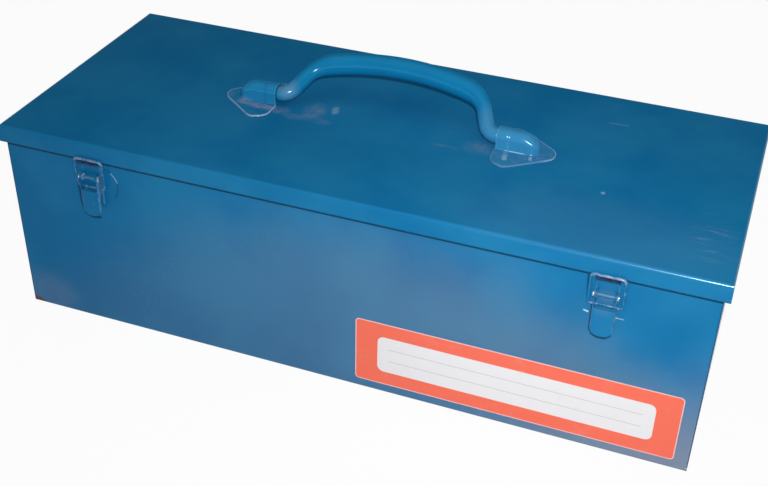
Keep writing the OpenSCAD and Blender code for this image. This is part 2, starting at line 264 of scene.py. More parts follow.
FLASH_ABOVE = 40 * MM
FLASH_RIGHT = 12 * MM
FLASH_SIZE = 25 * MM
FLASH_WATTS = 2.8
FLASH_BEAM = math.radians(120)
FILL_ASIDE = 1.5
FILL_BEHIND = 1.2
FILL_UP = 0.4
FILL_SIZE = 0.8
FILL_WATTS = 6.0
camera_turn = camera.matrix_world.to_3x3()
flash_place = camera_place + camera_turn @ Vector((FLASH_RIGHT, FLASH_ABOVE, 0))
flash_target = Vector((130, -60, 150)) * MM
flash = lamp("flash", flash_place, flash_target, FLASH_SIZE, FLASH_WATTS)
flash.data.spread = FLASH_BEAM
case_middle = (cad_box[0] + cad_box[1]) / 2
for side in (-1, 1):
    fill_place = Vector((side * FILL_ASIDE, FILL_BEHIND, FILL_UP))
    fill = lamp("back_fill", fill_place, case_middle, FILL_SIZE, FILL_WATTS)
    fill.visible_glossy = False
print("flash stands", round((flash_place - case_middle).length, 2), "m from the case")

# %% [markdown]
# The floor
#
# The photograph was cut out on white, so the floor should read as white behind the case and still hold its
# shadow. A white diffuse floor is grey wherever the lamps are weak. So an emission of strength 1 is mixed
# in for rays from the camera and for those mirrored by the paint, through the Light Path node, and a share
# of the plain floor stays under it to carry the shadow. No lamp has to be raised for that.

# %% A pale floor that keeps the shadow
FLOOR_RADIUS = 6.0
FLOOR_SIDES = 96
FLOOR_GLOW = 0.94
FLOOR_GREY = (0.86, 0.86, 0.86, 1.0)
disc = bmesh.new()
bmesh.ops.create_circle(disc, cap_ends=True, segments=FLOOR_SIDES, radius=FLOOR_RADIUS)
floor_mesh = bpy.data.meshes.new("floor")
disc.to_mesh(floor_mesh)
disc.free()
floor = bpy.data.objects.new("floor", floor_mesh)
scene.collection.objects.link(floor)

floor_paint = bpy.data.materials.new("pale_floor")
floor_paint.use_nodes = True
paper = Nodes(floor_paint.node_tree)
plain = paper.node("ShaderNodeBsdfDiffuse", {}, {"Color": FLOOR_GREY})
white = paper.node("ShaderNodeEmission", {}, {"Color": WHITE, "Strength": 1.0})
seen = shows_background(paper) * FLOOR_GLOW
blended = paper.node("ShaderNodeMixShader", {}, {0: seen, 1: plain, 2: white})
paper.node("ShaderNodeOutputMaterial", {}, {"Surface": blended})
floor_mesh.materials.append(floor_paint)
print("floor radius in m:", FLOOR_RADIUS)

# %% [markdown]
# Skins from rows of points
#
# The handle and its brackets are pressed and bent shapes, rounder than a solid with exact faces shows them.
# Both can be laid out as rows of points, as a ship's hull is drawn in sections, and one helper joins
# neighbouring rows by quads. Points that fall together, such as those on a ridge, are merged afterwards.

# %% A helper that skins rows of points
MERGE_GAP = 0.01


def skin(name, rows, loop=False, capped=False):
    """An object of quads over rows of points in millimetres. A loop's rows close on themselves."""
    shape = bmesh.new()
    grid = [[shape.verts.new(Vector(point) * MM) for point in row] for row in rows]
    for row, following in zip(grid, grid[1:]):
        count = len(row)
        for i in range(count if loop else count - 1):
            k = (i + 1) % count
            shape.faces.new((row[i], row[k], following[k], following[i]))
    if capped:
        shape.faces.new(grid[0])
        shape.faces.new(grid[-1])
    bmesh.ops.remove_doubles(shape, verts=shape.verts, dist=MERGE_GAP * MM)
    bmesh.ops.recalc_face_normals(shape, faces=shape.faces)
    if not loop and sum(face.normal.z for face in shape.faces) < 0:
        bmesh.ops.reverse_faces(shape, faces=shape.faces)
    for face in shape.faces:
        face.smooth = True
    mesh = bpy.data.meshes.new(name)
    shape.to_mesh(mesh)
    shape.free()
    thing = bpy.data.objects.new(name, mesh)
    scene.collection.objects.link(thing)
    print(name, "has", len(mesh.polygons), "faces")
    return thing


# %% [markdown]
# The handle
#
# The handle is one steel tube: a shallow arch for the hand, a wide bend and a straight leg at each end,
# then a tight bend into the bracket, where the tube is necked down. A curve with a bevel would give the
# sweep but an uneven taper, so the rings are placed one by one. Each ring is a station with its place on
# the centre line, its slope and its radius, and the same sizes as in the CAD model keep it inside the
# brackets.

# %% Stations along the handle's centre line
GRIP_RADIUS = 8.1
TUBE_END_RADIUS = 5.8
TAPER_SHARE = 0.45
ARCH_RADIUS = 192.0
ARCH_ANGLE = math.radians(15.4)
LEG_ANGLE = math.radians(66)
UPPER_BEND = 28.0
LOWER_BEND = 11.0
HANDLE_HEIGHT = 40.2
TUBE_IN = 15.0
NECK_RADIUS = 5.2
NECK_ROUND = 0.4


def spread(first, last, count):
    """Evenly spaced numbers from first to last, both included."""
    return [first + (last - first) * i / (count - 1) for i in range(count)]


def ease(share):
    """A soft step from 0 to 1."""
    share = min(max(share, 0.0), 1.0)
    return share * share * (3 - 2 * share)


def on_bend(centre, radius, angle):
    """A point on a bend, at an angle from the top of its circle."""
    return centre[0] + radius * math.sin(angle), centre[1] + radius * math.cos(angle)


arch_centre = (0.0, HANDLE_HEIGHT - ARCH_RADIUS)
arch_end = on_bend(arch_centre, ARCH_RADIUS, ARCH_ANGLE)
upper_centre = on_bend(arch_end, -UPPER_BEND, ARCH_ANGLE)
leg_top = on_bend(upper_centre, UPPER_BEND, LEG_ANGLE)
leg_low = LOWER_BEND * (1 - math.cos(LEG_ANGLE))
leg_run = (leg_top[1] - leg_low) / math.tan(LEG_ANGLE)
tube_end = leg_top[0] + leg_run + LOWER_BEND * math.sin(LEG_ANGLE)
lower_centre = (tube_end, LOWER_BEND)

ARCH_STATIONS = 13
UPPER_STATIONS = 17
LEG_STATIONS = 7
LOWER_STATIONS = 15
stations = []
for angle in spread(0, ARCH_ANGLE, ARCH_STATIONS):
    stations.append((*on_bend(arch_centre, ARCH_RADIUS, angle), angle))
for angle in spread(ARCH_ANGLE, LEG_ANGLE, UPPER_STATIONS)[1:]:
    stations.append((*on_bend(upper_centre, UPPER_BEND, angle), angle))
for share in spread(0, 1, LEG_STATIONS)[1:]:
    stations.append((leg_top[0] + leg_run * share, leg_top[1] + (leg_low - leg_top[1]) * share, LEG_ANGLE))
for angle in spread(LEG_ANGLE, 0, LOWER_STATIONS)[1:]:
    stations.append((*on_bend(lower_centre, -LOWER_BEND, angle), angle))
print(len(stations), "stations, the last at the bracket,", round(tube_end, 2), "mm from the middle")

# %% Rings round the centre line
RING_POINTS = 40
lid_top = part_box("lid_shell")[1].z / MM
AXIS_RISE = 8.2
HANDLE_AXIS = lid_top + AXIS_RISE
HANDLE_TILT = math.radians(30)
HANDLE_X = -2.8
tilt = Matrix.Rotation(HANDLE_TILT, 3, "X")


def ring(x, rise, slope, radius):
    """Points round the tube, drawn in the handle's plane and then tilted back with it."""
    middle = Vector((x + HANDLE_X, rise, 0))
    outward = Vector((math.sin(slope), math.cos(slope), 0)) * radius
    sideways = Vector((0, 0, radius))
    angles = [math.tau * i / RING_POINTS for i in range(RING_POINTS)]
    around = [middle + outward * math.cos(a) + sideways * math.sin(a) for a in angles]
    return [tilt @ point + Vector((0, 0, HANDLE_AXIS)) for point in around]


runs = [0.0]
for (x, rise, _), (next_x, next_rise, _) in zip(stations, stations[1:]):
    runs.append(runs[-1] + math.hypot(next_x - x, next_rise - rise))
taper_start = runs[ARCH_STATIONS - 1]
half = []
for (x, rise, slope), run in zip(stations, runs):
    share = ease((run - taper_start) / (runs[-1] - taper_start) / TAPER_SHARE)
    half.append((x, rise, slope, GRIP_RADIUS + (TUBE_END_RADIUS - GRIP_RADIUS) * share))
for angle in spread(0, math.pi / 2, 4):
    x = tube_end + NECK_ROUND * math.sin(angle)
    half.append((x, 0, 0, TUBE_END_RADIUS - NECK_ROUND * (1 - math.cos(angle))))
half.append((tube_end + NECK_ROUND, 0, 0, NECK_RADIUS))
half.append((tube_end + TUBE_IN, 0, 0, NECK_RADIUS))
rings = [ring(-x, rise, -slope, radius) for x, rise, slope, radius in reversed(half[1:])]
rings += [ring(*station) for station in half]
handle = skin("handle_bar", rings, loop=True, capped=True)
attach(handle, "handle")
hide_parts("handle_tube")

# %% [markdown]
# The brackets
#
# Each bracket is pressed from one sheet: a bullet-shaped dome, open at the mouth where the tube goes in,
# which runs out through a tight fillet into a flat flange with three rounded corners. A shallow band is
# raised round the mouth. A boolean of a cylinder and a plate would leave a hard line at the foot of the
# dome. Here every row of the skin starts on the ridge, runs over the dome, down its wall, through the
# fillet and out to the edge of the flange. Solidify then gives the sheet its thickness, and Bevel rounds
# the cut edges so that they catch the light.

# %% The outline of the flange
SHEET = 1.2
FOOT_FILLET = 1.0
DOME_HALF = 6.7
DOME_TOP = 14.9
SHOULDER = 6.0
MOUTH_GAP = 0.5
MOUTH_X = tube_end + MOUTH_GAP
FLANGE_LIP = 0.5
FLANGE_X = MOUTH_X - FLANGE_LIP
FLANGE_HALF = 27.5
FLANGE_LENGTH = 42.5
FLANGE_CORNER = 10.0
DOME_STRAIGHT = 16.5
NOSE_START = MOUTH_X + DOME_STRAIGHT
NOSE_CENTRE = NOSE_START + DOME_TOP - DOME_HALF
near_corner = Vector((FLANGE_X + FLANGE_CORNER, FLANGE_HALF - FLANGE_CORNER))
tip_corner = Vector((FLANGE_X + FLANGE_LENGTH - FLANGE_CORNER, 0.0))
FURTHEST_EDGE = 60.0
HALVINGS = 40


def outside(point):
    """How far a point with y of 0 or more lies outside the flange's outline."""
    along = tip_corner - near_corner
    share = min(max((point - near_corner).dot(along) / along.length_squared, 0.0), 1.0)
    offset = point - near_corner - along * share
    beyond = offset.dot(Vector((-along.y, along.x))) * (1 if along.x > 0 else -1)
    inside = beyond < 0 and point.x > near_corner.x
    if point.x <= near_corner.x and point.y < near_corner.y:
        return near_corner.x - point.x - FLANGE_CORNER
    return (-1 if inside else 1) * offset.length - FLANGE_CORNER


def edge_reach(start, heading):
    """The distance from start along heading to the edge of the flange, found by halving."""
    low, high = 0.0, FURTHEST_EDGE
    for _ in range(HALVINGS):
        reach = (low + high) / 2
        point = start + heading * reach
        if outside(Vector((point.x, abs(point.y)))) < 0:
            low = reach
        else:
            high = reach
    return low


print("flange reaches", round(edge_reach(Vector((near_corner.x, 0)), Vector((0, 1))), 2), "mm to the side")

# %% Section of the sheet, from the ridge to the edge
FILLET_STEPS = 5
FLANGE_STEPS = 5
quarter = math.pi / 2
foot = SHEET + FOOT_FILLET
flat_half = DOME_HALF - SHOULDER
shoulder_reaches = [flat_half + SHOULDER * math.sin(angle) for angle in spread(0, quarter, 9)[1:]]
section_reaches = spread(0, flat_half, 4) + shoulder_reaches
ridge_at_centre = math.sqrt(DOME_TOP ** 2 - (NOSE_CENTRE - NOSE_START) ** 2)


def dome_height(reach, ridge, round_share):
    """Height of the dome off its ridge: shouldered at the sides, a bullet's nose in front."""
    past_flat = max(reach - flat_half, 0.0)
    arch = (DOME_TOP - SHOULDER + math.sqrt(max(SHOULDER ** 2 - past_flat ** 2, 0.0))) * ridge / DOME_TOP
    ahead = NOSE_CENTRE - NOSE_START + reach
    nose = math.sqrt(max(DOME_TOP ** 2 - ahead ** 2, 0.0)) / ridge_at_centre
    return arch * (1 - round_share) + (foot + (ridge - foot) * nose) * round_share


def sheet_section(ridge, round_share, edge, rise=0.0):
    """(distance, height) points from the ridge over the dome, down to the foot and out to the edge."""
    points = []
    for reach in section_reaches:
        points.append((reach * (1 + rise / DOME_HALF), dome_height(reach, ridge, round_share) + rise))
    wall, wall_top = points[-1]
    points.append((wall, (wall_top + foot + rise) / 2))
    for angle in spread(0, quarter, FILLET_STEPS):
        out = wall + FOOT_FILLET * (1 - math.cos(angle))
        points.append((out, SHEET + rise + FOOT_FILLET * (1 - math.sin(angle))))
    start = points[-1][0]
    points += [(start + (edge - start) * share, SHEET + rise) for share in spread(0, 1, FLANGE_STEPS)[1:]]
    return points


print("points from the ridge to the edge:", len(sheet_section(DOME_TOP, 0.0, FLANGE_CORNER)))

# %% Rows along the dome and round its nose
BAND_WIDTH = 9.0
BAND_RISE = 0.5
BAND_STEP = 0.7
HAIR = 0.05


def straight_row(ridge_x, side):
    """A row across the straight part, at a place along the ridge."""
    share = (ridge_x - MOUTH_X) / (NOSE_CENTRE - MOUTH_X)
    flange_x = FLANGE_X + HAIR + (NOSE_CENTRE - FLANGE_X - HAIR) * share
    ahead = max(ridge_x - NOSE_START, 0.0)
    ridge = math.sqrt(DOME_TOP ** 2 - ahead ** 2)
    rise = BAND_RISE if ridge_x < MOUTH_X + BAND_WIDTH else 0.0
    edge = edge_reach(Vector((flange_x, 0)), Vector((0, side)))
    row = []
    for reach, height in sheet_section(ridge, 0.0, edge, rise):
        x = ridge_x + (flange_x - ridge_x) * ease((reach - DOME_HALF - rise) / FOOT_FILLET)
        row.append((x, side * reach, height))
    return row


def nose_row(angle):
    """A row round the nose, at an angle from the way it points."""
    heading = Vector((math.cos(angle), math.sin(angle)))
    centre = Vector((NOSE_CENTRE, 0))
    section = sheet_section(ridge_at_centre, math.cos(angle) ** 2, edge_reach(centre, heading))
    return [(*(centre + heading * reach), height) for reach, height in section]


band_places = [MOUTH_X + (BAND_WIDTH - BAND_STEP) * share ** 2 for share in spread(0, 1, 11)]
straight_places = band_places + spread(MOUTH_X + BAND_WIDTH, NOSE_CENTRE, 12)
bracket_rows = [straight_row(place, 1) for place in straight_places]
bracket_rows += [nose_row(angle) for angle in spread(quarter, -quarter, 33)[1:-1]]
bracket_rows += [straight_row(place, -1) for place in reversed(straight_places)]
print(len(bracket_rows), "rows of", len(bracket_rows[0]), "points")

# %% Two pressed brackets
CUT_EDGE_ROUND = 0.4
CUT_EDGE_ANGLE = math.radians(50)
for side, name in ((-1, "left"), (1, "right")):
    rows = [[(HANDLE_X + side * x, y, lid_top + z) for x, y, z in row] for row in bracket_rows]
    bracket = skin("bracket_" + name, rows)
    sheet = bracket.modifiers.new("sheet", "SOLIDIFY")
    sheet.thickness = SHEET * MM
    sheet.offset = -1
    cut_edge = bracket.modifiers.new("rim", "BEVEL")
    cut_edge.width = CUT_EDGE_ROUND * MM
    cut_edge.segments = 3
    cut_edge.limit_method = "ANGLE"
    cut_edge.angle_limit = CUT_EDGE_ANGLE
    bracket.modifiers.new("normals", "WEIGHTED_NORMAL")
    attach(bracket, "lid")
    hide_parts("handle_bracket_" + name)

# %% [markdown]
# Softened edges on the latches and hinges
#
# Latch and hinge parts are stamped from sheet, so every edge has a small round that shines. The CAD solids
# stop at a sharp edge. Their meshes are left as they are, and three modifiers do the work: Weld joins the
# faces, which come in unjoined, Bevel rounds the edges, and Weighted Normal keeps the flats flat.

# %% Weld, bevel and even normals
WELD_GAP = 0.002
STAMPED_ANGLE = math.radians(40)


def soften(node, width):
    """Rounds the edges of a CAD piece by width millimetres, with modifiers alone."""
    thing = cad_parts[node]
    weld = thing.modifiers.new("weld", "WELD")
    weld.merge_threshold = WELD_GAP * MM
    bevel = thing.modifiers.new("bevel", "BEVEL")
    bevel.width = width * MM
    bevel.segments = 2
    bevel.limit_method = "ANGLE"
    bevel.angle_limit = STAMPED_ANGLE
    thing.modifiers.new("normals", "WEIGHTED_NORMAL")


SOFT_EDGES = {"base": 0.2, "lever": 0.25, "catch": 0.2, "pin": 0.3, "lid_leaf": 0.25, "body_leaf": 0.25}
softened = 0
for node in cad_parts:
    for ending, width in SOFT_EDGES.items():
        if node.endswith("_" + ending):
            soften(node, width)
            softened += 1
print("softened pieces:", softened)

# %% [markdown]
# What every finish needs
#
# A finish here is a function of place: the Texture Coordinate node's Object output is the point on the case
# in metres, also when the lid is open, because each piece keeps its own origin. Scaled to millimetres, it
# lets a scuff be written where a ruler would find it. The Normal output tells the outside of a sheet from
# its inside, which is only a millimetre away. Noise breaks up anything too even, and a stroke is a soft
# line between two points, which is all that a scratch is.

# %% A finish with places, noise and strokes
POLISH_ROUGHNESS = 0.2
POLISH_TINT = (0.55, 0.9, 1.0, 1.0)


class Finish(Nodes):
    """A material whose nodes know where a point is, in millimetres."""

    def __init__(self, name):
        self.material = bpy.data.materials.new(name)
        self.material.use_nodes = True
        super().__init__(self.material.node_tree)
        metres = self.node("ShaderNodeTexCoord", output="Object")
        self.place = self.vector("SCALE", metres, 1 / MM)
        split = self.node("ShaderNodeSeparateXYZ", {}, {0: self.place})
        self.x, self.y, self.z = (split.out(axis) for axis in "XYZ")
        self.facing = metres.out("Normal")

    def noise(self, size, detail=2.0, stretch=None, roughness=0.5):
        """Cloudy noise from 0 to 1 whose blotches are about size millimetres."""
        place = self.place if stretch is None else self.vector("MULTIPLY", self.place, stretch)
        sockets = {"Vector": place, "Scale": 1 / size, "Detail": detail, "Roughness": roughness}
        return self.node("ShaderNodeTexNoise", {}, sockets)

    def stroke(self, start, end, width):
        """1 on the line between two places, fading to 0 at width from it."""
        along = Vector(end) - Vector(start)
        offset = self.vector("SUBTRACT", self.place, start)
        share = self.vector("DOT_PRODUCT", offset, along / along.length_squared, "Value")
        held = self.node("ShaderNodeClamp", {}, {"Value": share})
        near = self.vector("SCALE", along, held)
        distance = self.vector("DISTANCE", offset, near, "Value")
        return 1 - self.smooth(distance, 0.3 * width, width)

    def faces(self, direction):
        """1 on faces turned towards a direction, 0 on those turned away."""
        return self.smooth(self.vector("DOT_PRODUCT", self.facing, direction, "Value"), 0.0, 0.3)

    def patch(self, centre, reach):
        """1 at centre, fading to 0 at the reach along each axis."""
        offset = self.vector("SUBTRACT", self.place, centre)
        scaled = self.vector("DIVIDE", offset, reach)
        return 1 - self.smooth(self.vector("LENGTH", scaled, output="Value"), 0.25, 1.0)

    def shade(self, colour, roughness, height, constants=None, polish=None):
        """Ends the finish in a Principled shader, with a share of polish over it if one is given.

        A height of 1 stands up by a tenth of a millimetre."""
        normal = self.node("ShaderNodeBump", {}, {"Distance": 0.1 * MM, "Height": height})
        sockets = {"Base Color": colour, "Roughness": roughness, "Normal": normal, **(constants or {})}
        shader = self.node("ShaderNodeBsdfPrincipled", {}, sockets)
        if polish is not None:
            layer = {"Color": POLISH_TINT, "Roughness": POLISH_ROUGHNESS, "Normal": normal}
            gloss = self.node("ShaderNodeBsdfGlossy", {}, layer)
            shader = self.node("ShaderNodeMixShader", {}, {0: polish, 1: shader, 2: gloss})
        self.node("ShaderNodeOutputMaterial", {}, {"Surface": shader})
        return self.material


print("a finish can make:", [name for name in vars(Finish) if not name.startswith("_")])


# %% Sizes in millimetres, and putting a finish on pieces
def box_mm(node):
    """A CAD node's lowest and highest corner in millimetres."""
    low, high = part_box(node)
    return low / MM, high / MM


def give(material, *things):
    """Puts one material on whole pieces."""
    for thing in things:
        thing.data.materials.clear()
        thing.data.materials.append(material)
    print(material.name, "on", len(things), "pieces,", len(material.node_tree.nodes), "nodes")


print("lowest corner of the lid in mm:", [round(value, 1) for value in box_mm("lid_shell")[0]])

# %% [markdown]
# Blue enamel
#
# The paint is a glossy stoving enamel over steel. Under a flash it is a deep, even blue with very little
# haze, so its specular level is low and its gloss is high, and what shines has a little of the blue in it.
# Two noises shift the tone by a few per cent, because a sprayed coat is never quite even, and a fine one
# gives the orange-peel skin. Where it is worn, it goes from rubbed paint to bare metal, and at the worst
# places to rust.

# %% Colours and the enamel's own skin
DEEP_BLUE = (0.004, 0.142, 0.335, 1.0)
PALE_BLUE = (0.012, 0.176, 0.372, 1.0)
RUBBED_BLUE_AND_SHEEN = (0.16, 0.3, 0.44, 1.0)
TEAL = (0.006, 0.178, 0.33, 1.0)
DOME_BLUE = (0.02, 0.27, 0.52, 1.0)
DUST = (0.33, 0.25, 0.14, 1.0)
PALE_DUST_AND_SHEEN = (0.45, 0.4, 0.44, 1.0)
GRIME_AND_SHADE = (0.003, 0.03, 0.07, 1.0)
BARE_STEEL = (0.66, 0.68, 0.7, 1.0)
SCUFFED = (0.36, 0.35, 0.47, 1.0)
RUST = (0.17, 0.075, 0.035, 1.0)
WORN_RIM_AND_GLINT = (0.36, 0.5, 0.66, 1.0)
SCRAPED_AND_GLINT = (0.5, 0.7, 0.8, 1.0)
ENAMEL = {"Specular IOR Level": 0.06}
RIMLESS = {"Specular IOR Level": 0.0}
POLISH = 0.03


def enamel_colour(finish):
    """The coat's colour, which shifts a little over a hand's width."""
    cloud = finish.noise(70.0, 3.0)
    return finish.mix(finish.smooth(cloud, 0.3, 0.7), DEEP_BLUE, PALE_BLUE)


def enamel_skin(finish):
    """Height of orange peel over the slow waves of thin sheet."""
    peel = finish.noise(2.2, 1.0)
    waves = finish.noise(45.0, 0.0)
    return peel * 0.06 + waves * 0.9


def edge_of_box(finish, low, high):
    """Distance in millimetres from the nearest long edge of a box."""
    middle = (low + high) / 2
    reach = (high - low) / 2
    gaps = [reach[i] - abs(axis - middle[i]) for i, axis in enumerate((finish.x, finish.y, finish.z))]
    pairs = [gaps[0].higher(gaps[1]), gaps[0].higher(gaps[2]), gaps[1].higher(gaps[2])]
    return pairs[0].lower(pairs[1]).lower(pairs[2])


print("enamel from", DEEP_BLUE[:3], "to", PALE_BLUE[:3])

# %% [markdown]
# The body
#
# Years of handling left a grey veil of dust on the front, thickest low down on the right and thin towards
# the upper corners. Its upper border is an arch, so a parabola in x and z shapes it and noise frays it. Low
# on the right a paler film lies over it, partly pale dust and partly a painted sheen. The bottom edge is
# chipped to bare metal, most of all at the right corner, the left one has rusted, and small scratches lie
# beside the latches where the levers were prised up. A painted shadow lies on the wall under the lid's
# skirt and round the levers, and the box's edges are painted darker.

# %% Dust over the front wall
tray_low, tray_high = box_mm("body_tray")
lid_low, lid_high = box_mm("lid_shell")
pin_low, pin_high = box_mm("latch_right_pin")
latch_x = (pin_low.x + pin_high.x) / 2
front_y = tray_low.y
DUST_MIDDLE = 20.0
DUST_TOP = 165.0
DUST_SPREAD = 23.8
DUST_FRAY = 20.0


def dust_veil(finish):
    """Share of brown dust over the front wall, under an arch with a frayed border."""
    across = (finish.x - DUST_MIDDLE) / DUST_SPREAD
    border = DUST_TOP - across * across
    fray = finish.noise(38.0, 4.0, (1.0, 1.0, 0.5)) * (DUST_FRAY * 2) - DUST_FRAY
    below = finish.smooth(border - finish.z + fray, -10.0, 75.0)
    return below * (0.15 + finish.x * 0.0004)


body_finish = Finish("body_enamel")
grit = body_finish.noise(3.0, 4.0, roughness=0.7)
front = (1 - body_finish.smooth(body_finish.y - front_y, 1.0, 4.0)) * body_finish.faces((0.0, -1.0, 0.0))
veil = dust_veil(body_finish) * front
left_dust = body_finish.patch((-240.0, front_y, 14.0), (34.0, 30.0, 26.0)) * 0.1
# Low on the right the front is painted paler, partly as pale dust and partly as a painted sheen.
pale_dust_and_sheen = (body_finish.smooth(body_finish.x - body_finish.z * 1.6, 60.0, 260.0) * 0.3 + left_dust) * front
print("front wall at y =", round(front_y, 2), "mm, latches at x =", round(latch_x, 2), "mm")


# %% Scratches and painted shadow round the latches
def lines_on_front(finish, points, width):
    """1 on a broken line through (x, z) points of the front wall."""
    ends = [(x, front_y, z) for x, z in points]
    strokes = [finish.stroke(start, end, width) for start, end in zip(ends, ends[1:])]
    total = strokes[0]
    for stroke in strokes[1:]:
        total = total.higher(stroke)
    return total


left_tick = lines_on_front(body_finish, [(latch_x - 13.0, 114.2), (latch_x - 10.6, 113.6)], 0.9)
tick_head = lines_on_front(body_finish, [(latch_x + 6.8, 113.5), (latch_x + 7.6, 113.5)], 0.9)
tick_tail = lines_on_front(body_finish, [(latch_x + 6.8, 113.5), (latch_x + 12.7, 113.4)], 0.5)
ticks = left_tick.higher(tick_head).higher(tick_tail * 0.6)
rubbed_arc = lines_on_front(body_finish, [(-170.9, 136.4), (-168.1, 133.3), (-166.3, 129.5)], 0.6)
upper_arc = [(-176.0, 139.1), (-172.9, 138.6), (-170.9, 136.4)]
lower_arc = [(-166.3, 129.5), (-166.2, 125.9), (-167.4, 120.9), (-169.3, 116.7)]
dark_arc = lines_on_front(body_finish, upper_arc, 0.6).higher(lines_on_front(body_finish, lower_arc, 0.7))
left_lever_shadow_line = [(-200.6, 141.0), (-199.2, 122.5), (-198.6, 106.2)]
left_lever_shadow_line += [(-196.6, 97.8), (-190.2, 95.0), (-184.3, 96.4)]
right_lever_shadow_line = [(173.0, 141.4), (174.4, 123.1), (177.8, 120.2), (177.8, 101.0)]
right_lever_shadow_tip = [(177.8, 101.0), (179.6, 97.0), (183.2, 95.0), (188.4, 95.4), (191.7, 98.3)]
# The dark lines along the levers' left and lower edges are painted shadow, broken by noise.
lever_painted_shadow = lines_on_front(body_finish, left_lever_shadow_line, 1.5)
for line in (right_lever_shadow_line, right_lever_shadow_tip):
    lever_painted_shadow = lever_painted_shadow.higher(lines_on_front(body_finish, line, 1.4))
lever_painted_shadow = lever_painted_shadow * (0.3 + grit * 0.9)
print("the grime round the levers runs through", len(left_lever_shadow_line + right_lever_shadow_line + right_lever_shadow_tip), "points")

# %% Finish of the tray and its end panels
edge = edge_of_box(body_finish, tray_low, tray_high)
low_right = body_finish.patch((240.0, front_y, 1.0), (60.0, 30.0, 9.0))
low_left = body_finish.patch((-253.0, front_y, 0.0), (11.0, 30.0, 9.0))
chip_reach = 0.4 + low_right * 1.6 + low_left * 1.6
chips = body_finish.smooth(grit * 2.6 - 1.0 - edge / chip_reach, -0.05, 0.2)
rusted = body_finish.smooth(grit + low_left * 0.5, 0.62, 0.8) * low_left
# A dark line on the wall just under the skirt is painted shadow.
lap_gap = abs(body_finish.z - (lid_low.z - 2.6))
skirt_shadow_line = (1 - body_finish.smooth(lap_gap, 0.4, 1.2)) * front
dark_edge = (1 - body_finish.smooth(edge, 0.3, 1.0)) * 0.75

colour = body_finish.mix(veil, enamel_colour(body_finish), DUST)
colour = body_finish.mix(pale_dust_and_sheen, colour, PALE_DUST_AND_SHEEN)
# One dark colour holds the painted shadows under the skirt and round the levers, the darkened box edges and
# a dark arc beside the left latch.
painted_shade_and_grime = (skirt_shadow_line * 0.85).higher(dark_edge).higher((dark_arc * 0.55).higher(lever_painted_shadow) * front)
colour = body_finish.mix(painted_shade_and_grime, colour, GRIME_AND_SHADE)
colour = body_finish.mix((ticks * 0.9).higher(rubbed_arc * 0.4) * front, colour, SCRAPED_AND_GLINT)
colour = body_finish.mix(chips * 0.7, colour, body_finish.mix(low_right, GRIME_AND_SHADE, BARE_STEEL))
colour = body_finish.mix(rusted, colour, RUST)
dull = 0.2 + veil * 0.55 + pale_dust_and_sheen * 0.5 + chips * 0.25 + rusted * 0.5 + grit * 0.05
give(
    body_finish.shade(colour, dull, enamel_skin(body_finish) - chips * 0.8, ENAMEL),
    *(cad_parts[node] for node in ("body_tray", "end_panel_left", "end_panel_right")),
)

# %% [markdown]
# The lid
#
# The lid is cleaner. What catches the eye is the scuffing where the handle has struck the paint between the
# brackets, a few soft smudges, and the fold along its edges, which is polished by hands and flashes back
# the light. Scuffs are patches of short scratches: a noise stretched along the stroke and cut off high,
# inside a soft patch. The inside of the lid, which no hand has polished, is duller. The front right of the
# top is painted a little lighter, as a painted pool of light, and the skirt's lower edge is painted darker
# as shade.

# %% Scuffs, smudges and scratches of the lid
SCUFFS = (
    ((-83.0, -10.0), (11.0, 8.0), 0.36),
    ((-69.0, -15.5), (11.0, 6.0), 0.2),
    ((-58.0, -3.0), (11.0, 18.0), 0.32),
    ((-47.0, -15.0), (11.0, 6.0), 0.16),
    ((48.0, -14.5), (16.0, 3.0), 0.14),
    ((70.0, -8.0), (15.0, 12.0), 0.26),
)
lid_finish = Finish("lid_enamel")


def on_lid(x, y):
    """A place on top of the lid."""
    return x, y, lid_high.z


outside_lid = lid_finish.faces((0.0, 0.0, 1.0))
streaks = 0.25 + lid_finish.smooth(lid_finish.noise(6.0, 6.0, (1.3, 0.7, 1.0), 0.7), 0.38, 0.72) * 0.75
scuffs = 0.0
for centre, reach, strength in SCUFFS:
    scuffs = lid_finish.patch(on_lid(*centre), (*reach, 6.0)) * strength + scuffs
scuffs = scuffs * streaks
scratch = lid_finish.stroke(on_lid(149.0, 64.4), on_lid(162.0, 64.9), 1.6) * 0.3
dots = lid_finish.patch(on_lid(164.6, -34.0), (2.2, 2.2, 4.0)) * 0.6
for centre in ((-43.4, 2.6), (-44.8, 6.4)):
    dots = dots.higher(lid_finish.patch(on_lid(*centre), (3.6, 6.0, 6.0)) * 0.32)
along_streaks = lid_finish.smooth(lid_finish.noise(8.0, 4.0, (0.3, 1.6, 1.0), 0.7), 0.5, 0.75)
right_smudge = lid_finish.patch(on_lid(240.0, -66.0), (24.0, 42.0, 12.0)) * along_streaks * 0.42
# The front right of the top is painted lighter, as a pool of light.
front_right_light = lid_finish.patch(on_lid(170.0, -80.0), (130.0, 60.0, 12.0)) * 0.09
teal_cloud = lid_finish.smooth(lid_finish.noise(22.0, 5.0, (1.0, 0.6, 1.0), 0.65), 0.4, 0.75) * 0.35
print("scuffed places on the lid:", len(SCUFFS))

# %% Finish of the lid and its hinge leaves
lid_grit = lid_finish.noise(3.0, 4.0, roughness=0.7)
lid_edge = edge_of_box(lid_finish, lid_low, lid_high)
lid_chips = lid_finish.smooth(lid_grit * 2.4 - 1.15 - lid_edge / 0.9, -0.05, 0.2)
